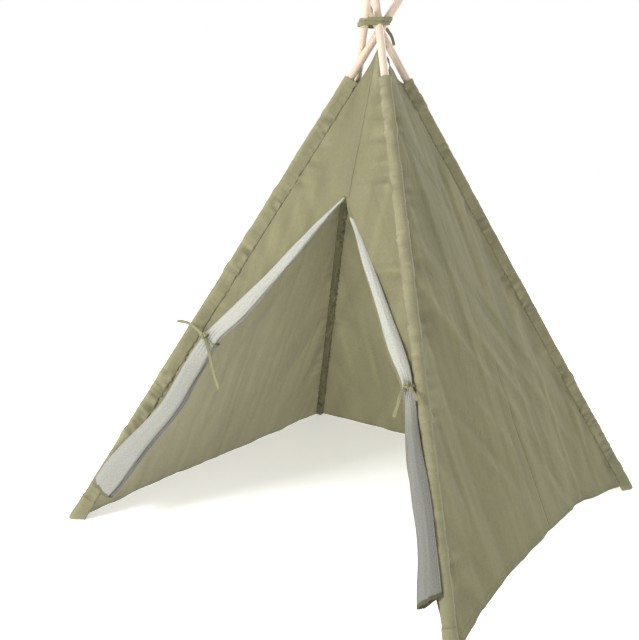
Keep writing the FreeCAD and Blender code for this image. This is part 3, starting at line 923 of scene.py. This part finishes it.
def tube_points(pole, section, start, end, relief, level_foot=False):
    """Rings of a section swept up a pole; relief(distance, share, turn) pushes it out."""
    outline, share = section
    normal = np.roll(outline, -1, axis=0) - np.roll(outline, 1, axis=0)
    normal = np.stack([normal[:, 1], -normal[:, 0]], 1)
    normal /= np.linalg.norm(normal, axis=1)[:, None]
    turn = np.linspace(0, 1, len(outline), endpoint=False)
    length = (end - start) / AXIS[pole][2]
    count = max(8, int(length / 0.0035))
    distance = np.linspace(0, length, count)
    push = relief(distance[:, None], share[None], turn[None])
    flat = outline[None] + normal[None] * push[..., None]
    points = (pole_at(pole, start) + distance[:, None, None] * AXIS[pole]
              + flat[..., :1] * INWARD[pole] + flat[..., 1:] * SIDE[pole])
    if level_foot:
        rise = (0.0015 - points[0, :, 2]) / AXIS[pole][2]
        fade = (1 - distance / length)[:, None, None]
        points = points + fade * rise[None, :, None] * AXIS[pole]
    girth = np.concatenate([[0], np.cumsum(np.linalg.norm(np.diff(outline, axis=0), axis=1))])
    uvs = np.stack(np.broadcast_arrays(girth[None], distance[:, None]), -1)
    facing = normal[:, :1] * INWARD[pole] + normal[:, 1:] * SIDE[pole]
    return points, uvs, facing


def make_sleeve(pole, seed):
    gather, cluster, slack, bump = (Ripple(seed * 20 + k) for k in range(4))
    length = (SLEEVE_TOP - SLEEVE_FOOT) / AXIS[pole][2]

    def relief(distance, share, turn):
        bunched = smooth((cluster(distance / 0.085, turn.round()) + 0.25) / 0.5)
        height = 0.0046 * bunched * (0.16 + share ** 1.5) * gather(distance / 0.0085 + 1.6 * turn, turn * 4)
        height = height + 0.0012 * gather(distance / 0.006 + 2.0 * turn, turn * 3 + 40) * (0.3 + share)
        height = height + 0.0006 * slack(distance / 0.10, turn * 4)
        height = height + 0.0007 * slack(distance / 0.03 + 7, turn * 6)
        height = height + 0.0022 * smooth((bump(distance / 0.05, 3.3) - 0.55) / 0.2)
        top = length - distance
        hem = 0.0007 * smooth((HEM * 0.8 - top) / 0.0015)
        return np.maximum(height, -0.0008 - 0.002 * share) * smooth(top / 0.02 + 0.2) + hem

    # painted shade in the sleeve's gathers and painted light on their ridges
    def painted_crease_shading(distance, share, turn):
        bunched = smooth((cluster(distance / 0.085, turn.round()) + 0.25) / 0.5)
        ridges = gather(distance / 0.0085 + 1.6 * turn, turn * 4)
        dark = 0.9 * bunched * (0.35 + share) * ridges + 0.35 * slack(distance / 0.03 + 7, turn * 6)
        return np.clip(dark, -1, 0.6)

    radius, (reach, lean), _, _ = SLEEVES[pole]
    section = sleeve_section(radius, reach, lean)
    points, uvs, facing = tube_points(pole, section, SLEEVE_FOOT, SLEEVE_TOP, relief)
    rows, columns = points.shape[:2]
    # painted light at the sleeve's top edge
    painted_top_light = 0.9 * np.exp(-np.linspace(length, 0, rows) / 0.004)[:, None]
    along = np.linspace(0, length, rows)[:, None]
    turn = np.linspace(0, 1, columns, endpoint=False)[None]
    tone = painted_top_light * 0.4 + painted_crease_shading(along, section[1][None], turn)
    faces = grid_faces(rows, columns, closed=True)[:, ::-1]
    piece = make_mesh(f"cotton_sleeve_{pole}", points.reshape(-1, 3), faces, uvs.reshape(-1, 2),
                      [SLEEVE_MATERIAL], tone=tone)
    thicken(piece, CLOTH, 0)
    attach(piece, pole + "_pole")
    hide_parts(f"sleeve_{pole}")
    rows_of_thread = [(points[4:-3, column] + facing[column] * 0.0005, facing[column])
                      for column in (2, columns - 2)]
    ring = points[-4]
    rows_of_thread.append((ring + facing * 0.0005, facing))
    threads = stitches(f"sleeve_stitches_{pole}", rows_of_thread)
    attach(threads, pole + "_pole")


def make_foot_pocket(pole, seed):
    """The doubled pocket at the foot of a sleeve, gathered where it closes under the pole."""
    gather, fold = Ripple(seed * 30), Ripple(seed * 30 + 1)

    def relief(distance, share, turn):
        low = smooth(1 - distance / 0.05)
        return (0.0011 * fold(distance / 0.02, turn * 6) + 0.0012 * low * gather(turn * 22, distance / 0.03)
                - 0.0020 * smooth(1 - distance / 0.006))

    radius, (reach, lean), _, _ = SLEEVES[pole]
    section = sleeve_section(radius + POCKET_EXTRA, reach + 0.002, lean)
    points, uvs, _ = tube_points(pole, section, 0.004, POCKET_TOP, relief, True)
    rows, columns = points.shape[:2]
    points[0, :, 2] = 0.0012
    base = np.append(points[0].mean(0)[:2], 0.0012)
    vertices = np.vstack([points.reshape(-1, 3), base])
    faces = grid_faces(rows, columns, closed=True)[:, ::-1].tolist()
    faces += [(len(vertices) - 1, k, (k + 1) % columns) for k in range(columns)]
    places = np.vstack([uvs.reshape(-1, 2), [[0.03, -0.02]]])
    # painted light at the pocket's bottom edge and its closed bottom
    tone = np.append(np.repeat(0.8 * np.exp(-np.arange(rows) / 2.0), columns), 0.3)
    piece = make_mesh(f"cotton_foot_pocket_{pole}", vertices, faces, places, [SLEEVE_MATERIAL], tone=tone)
    thicken(piece, CLOTH, 0)
    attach(piece, "standing_corner" if pole == "back_left" else pole + "_pole")
    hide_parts(f"foot_pocket_{pole}")


# ---------------------------------------------------------------- placket
def make_placket():
    """The folded strip over the front seam, stitched down both sides, and the bartack at the slit's top."""
    wall = WALLS["front"]
    rows, columns = 110, 11
    top_z, low_z = wall.peak_z - 0.012, SLIT_TOP[2] - 0.004
    z = low_z + (top_z - low_z) * np.linspace(1, 0, rows)
    slit_x = FRONT.place(SLIT_TOP)[0]
    centre = slit_x + (PEAK_SHIFT - slit_x) * (z - SLIT_TOP[2]) / (wall.peak_z - SLIT_TOP[2])
    half_width = PLACKET_WIDTH / 2 * np.sqrt((wall.peak_z - z) / (wall.peak_z - low_z))
    a = np.linspace(-1, 1, columns)
    across = centre[:, None] + half_width[:, None] * a[None]
    heights = np.broadcast_to(z[:, None], across.shape)
    surface, _ = wall.cloth(across, heights, np.full_like(heights, wall.hem_pole))
    lift = 0.0013 - 0.0010 * np.abs(a) ** 6
    points = surface + wall.outward * lift[None, :, None]
    # painted light along the placket's folded edges
    tone = np.broadcast_to(0.5 * np.abs(a)[None] ** 8, across.shape)
    piece = cloth_grid("cotton_placket", points, [COTTON_MATERIAL], tone=tone, flip=True)
    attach(piece, "door_top")
    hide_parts("door_placket")
    rows_of_thread = [(points[2:-2, k] + wall.outward * 0.0004, wall.outward) for k in (1, 3, columns - 2)]
    threads = stitches("placket_stitches", rows_of_thread)
    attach(threads, "door_top")
    middle = SLIT_TOP + wall.outward * 0.0030
    steps = np.linspace(-0.008, 0.008, 9)
    tack_rows = [(np.array([middle + wall.panel.across * x + wall.panel.up * y for x in steps]),
                  wall.outward) for y in (-0.0016, 0, 0.0016)]
    tack = stitches("slit_bartack", tack_rows, BARTACK_MATERIAL)
    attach(tack, "door_top")


# ---------------------------------------------------------------- ties
LEFT_TAIL_UP = [(-9, 2, 0), (-48, 22, 4), (-76, 27, 5), (-108, 25, 2)]
LEFT_TAIL_DOWN = [(5, -7, 0), (38, -46, 3), (67, -91, 6), (105, -131, 10)]
RIGHT_TAIL_DOWN = [(-3, -8, 0), (-8, -28, 4), (-6, -52, 7), (-7, -80, 10)]
RIGHT_TAIL_SIDE = [(8, -3, 0), (19, -10, 3), (29, -18, 5), (40, -30, 6)]
APEX_TAIL_LEFT = [(-6, 6, -6), (-13, 15, -22), (-19, 19, -44), (-21, 26, -68)]
APEX_TAIL_RIGHT = [(6, 6, -6), (12, 16, -18), (22, 22, -34), (26, 25, -55)]
TIED = {"left": (-0.278, 0.577), "right": (0.355, 0.558)}
TAIL_OUT = 0.0402
MILLIMETRE = 0.001


def make_tail(node, points, body, facing, twist, width=TAPE_WIDTH):
    """A tape's free end, from its knot."""
    line = route_line(points)
    piece = ribbon("tape_" + node, line, facing, width, twist=twist, flare=0.12)
    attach(piece, body)
    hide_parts(node)


def make_door_tails():
    tails = (("left", "left_tie_tail_up", LEFT_TAIL_UP, (0.2, 0.5, 0.1, -0.2)),
             ("left", "left_tie_tail_down", LEFT_TAIL_DOWN, (0.9, 0.3, 0.1, -0.3)),
             ("right", "right_tie_tail_down", RIGHT_TAIL_DOWN, (1.0, 0.4, -0.2, 0.2)),
             ("right", "right_tie_tail_side", RIGHT_TAIL_SIDE, (0.3, 0.8, 0.2, 0.0)))
    for hand, node, steps, twist in tails:
        x, y = TIED[hand]
        points = [FRONT.point(x + dx * MILLIMETRE, y + dy * MILLIMETRE, TAIL_OUT + dz * MILLIMETRE)
                  for dx, dy, dz in steps]
        width = FOLDED_TAPE_WIDTH if node == "right_tie_tail_side" else TAPE_WIDTH
        make_tail(node, points, hand + "_flap", FRONT.outward, twist, width)


def make_tie(hand):
    """The tape round the gathered flap, its knot, and the tab that holds it to the sleeve's seam."""
    flap = Flap(hand)
    r = np.array([flap.tie])
    door, pole, top = (float(v[0]) for v in flap.edges(r))
    middle, reach = (door + pole) / 2, (pole - door) / 2 + 0.0004
    low, high = WALL_OUT + 0.004, top + 0.0036
    t = np.linspace(0, 2 * math.pi, 72, endpoint=False)
    beside = middle + reach * np.sign(np.cos(t)) * np.abs(np.cos(t)) ** 0.75
    out = (low + high) / 2 + (high - low) / 2 * np.sign(np.sin(t)) * np.abs(np.sin(t)) ** 0.75
    line = flap.point(flap.tie + 0.003 * np.sin(t), beside, out)
    centre = flap.point(flap.tie, middle, (low + high) / 2)
    band = ribbon(f"tape_{hand}_band", line, line - centre, 0.0078, 0.0020, closed=True)
    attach(band, hand + "_flap")
    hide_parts(f"{hand}_tie_band")
    lowest, highest = (np.array(corner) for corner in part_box(f"{hand}_tie_knot"))
    knot_at = (lowest + highest) / 2
    along = unit(FRONT.point(*flap.top) - FRONT.point(*flap.foot))
    knot = tape_knot(f"tape_{hand}_knot", knot_at, along, np.cross(along, FRONT.outward), FRONT.outward,
                     (0.021, 0.016, 0.012))
    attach(knot, hand + "_flap")
    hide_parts(f"{hand}_tie_knot")
    make_tab(hand)


def make_tab(hand):
    """A short tape from the sleeve's seam to the back of the band."""
    pole = "front_" + hand
    lowest, highest = (np.array(corner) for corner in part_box(f"{hand}_tie_tab"))
    height = (lowest[2] + highest[2]) / 2
    start = seam_at(pole, height, hand == "left") + FRONT.outward * 0.003
    inner = FRONT.place(lowest if hand == "right" else highest)
    end = FRONT.point(inner[0], FRONT.place(start)[1] - 0.004, -0.002)
    bend = (start + end) / 2 + FRONT.outward * 0.004
    line = route_line([start, bend, end])
    tab = ribbon(f"tape_{hand}_tab", line, FRONT.outward, twist=(0.0, 0.5, 0.9))
    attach(tab, pole + "_pole")
    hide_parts(f"{hand}_tie_tab")


def make_apex_tie():
    """Three slanted turns of tape round the crossed poles, with a knot and two tails behind."""
    turns, steps = 3, 90
    slope = math.tan(math.acos(AXIS["front_right"][2]))
    centres = np.array([CROSSING[pole] for pole in POLES])
    low, high = (np.array(corner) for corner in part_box("apex_tie_wrap"))
    height = high[2] - low[2]
    t = np.linspace(0, turns, turns * steps)
    angle = 2 * math.pi * t + math.pi / 2
    rise = low[2] + 0.006 + (height - 0.012) * t / turns + 0.0035 * np.sin(angle + 0.6)
    line = []
    for a, z in zip(angle, rise):
        way = np.array([math.cos(a), math.sin(a), 0.0])
        reach = 0.0135 + abs(z - centres[0][2]) * slope
        line.append(max(centres, key=lambda c: c @ way) * (1, 1, 0) + way * reach + (0, 0, z))
    line = np.array(line)
    kernel = np.ones(7) / 7
    padded = np.pad(line, ((3, 3), (0, 0)), mode="edge")
    line = np.stack([np.convolve(padded[:, k], kernel, "valid") for k in range(3)], 1)
    middle = centres.mean(0) * (1, 1, 0)
    wrap = ribbon("tape_apex_wrap", line, line * (1, 1, 0) - middle, 0.0105, 0.0018)
    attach(wrap, "apex_tie")
    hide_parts("apex_tie_wrap")
    lowest, highest = (np.array(corner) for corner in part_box("apex_tie_knot"))
    at = (lowest + highest) / 2
    x_axis, y_axis, z_axis = np.eye(3)
    knot = tape_knot("tape_apex_knot", at, x_axis, z_axis, y_axis, (0.022, 0.019, 0.012))
    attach(knot, "apex_tie")
    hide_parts("apex_tie_knot")
    for node, steps_out in (("apex_tie_tail_left", APEX_TAIL_LEFT), ("apex_tie_tail_right", APEX_TAIL_RIGHT)):
        points = [at + np.array(step) * MILLIMETRE for step in steps_out]
        make_tail(node, points, "apex_tie", (0, 1, 0), (0.2, 0.5, 0.1, -0.2))


# ---------------------------------------------------------------- poles and ferrules
def dress_poles():
    metal = satin_metal()
    for pole in POLES:
        wood = pine(pole)
        for node in (f"pole_lower_{pole}", f"pole_upper_{pole}"):
            dress(node, wood)
        dress(f"pole_ferrule_{pole}", metal)


def dress(node, material):
    mesh = frame["nodes"][node].data
    mesh.materials.clear()
    mesh.materials.append(material)


# ---------------------------------------------------------------- floor and light
def make_stage():
    reach = 14.0
    corners = [(-reach, -reach, 0), (reach, -reach, 0), (reach, reach, 0), (-reach, reach, 0)]
    mesh = bpy.data.meshes.new("floor")
    mesh.from_pydata(corners, [], [(0, 1, 2, 3)])
    n = Nodes("pale_floor")
    n.shader.inputs["Base Color"].default_value = (0.93, 0.93, 0.93, 1)
    n.shader.inputs["Roughness"].default_value = 0.9
    n.shader.inputs["Specular IOR Level"].default_value = 0.1
    n.shader.inputs["Emission Color"].default_value = (1, 1, 1, 1)
    n.shader.inputs["Emission Strength"].default_value = 0.45
    mesh.materials.append(n.material)
    floor = bpy.data.objects.new("floor", mesh)
    bpy.context.scene.collection.objects.link(floor)


def soft_light(name, place, aim, size, power):
    data = bpy.data.lights.new(name, "AREA")
    data.size, data.energy = size, power
    light = bpy.data.objects.new(name, data)
    light.location = place
    light.rotation_euler = (Vector(aim) - Vector(place)).to_track_quat("-Z", "Y").to_euler()
    bpy.context.scene.collection.objects.link(light)


def make_light():
    world = bpy.data.worlds.new("studio")
    world.use_nodes = True
    background = world.node_tree.nodes["Background"]
    background.inputs["Color"].default_value = (1.0, 1.0, 1.0, 1)
    background.inputs["Strength"].default_value = 1.0
    bpy.context.scene.world = world
    soft_light("key_front", (-1.4, -4.8, 2.6), (0, 0, 0.6), 1.4, 250)
    soft_light("back_left", (-4.2, 0.8, 1.8), (0, 0, 0.5), 2.4, 90)
    soft_light("back", (0.6, 4.4, 1.8), (0, 0, 0.5), 2.4, 120)
    bpy.context.scene.view_settings.view_transform = "Standard"


make_camera()
make_door_tails()
make_apex_tie()
make_walls()
for number, corner_pole in enumerate(POLES):
    make_sleeve(corner_pole, 11 + number)
    make_foot_pocket(corner_pole, 21 + number)
make_placket()
for side_name in ("left", "right"):
    make_flap(side_name)
    make_tie(side_name)
dress_poles()
make_stage()
make_light()
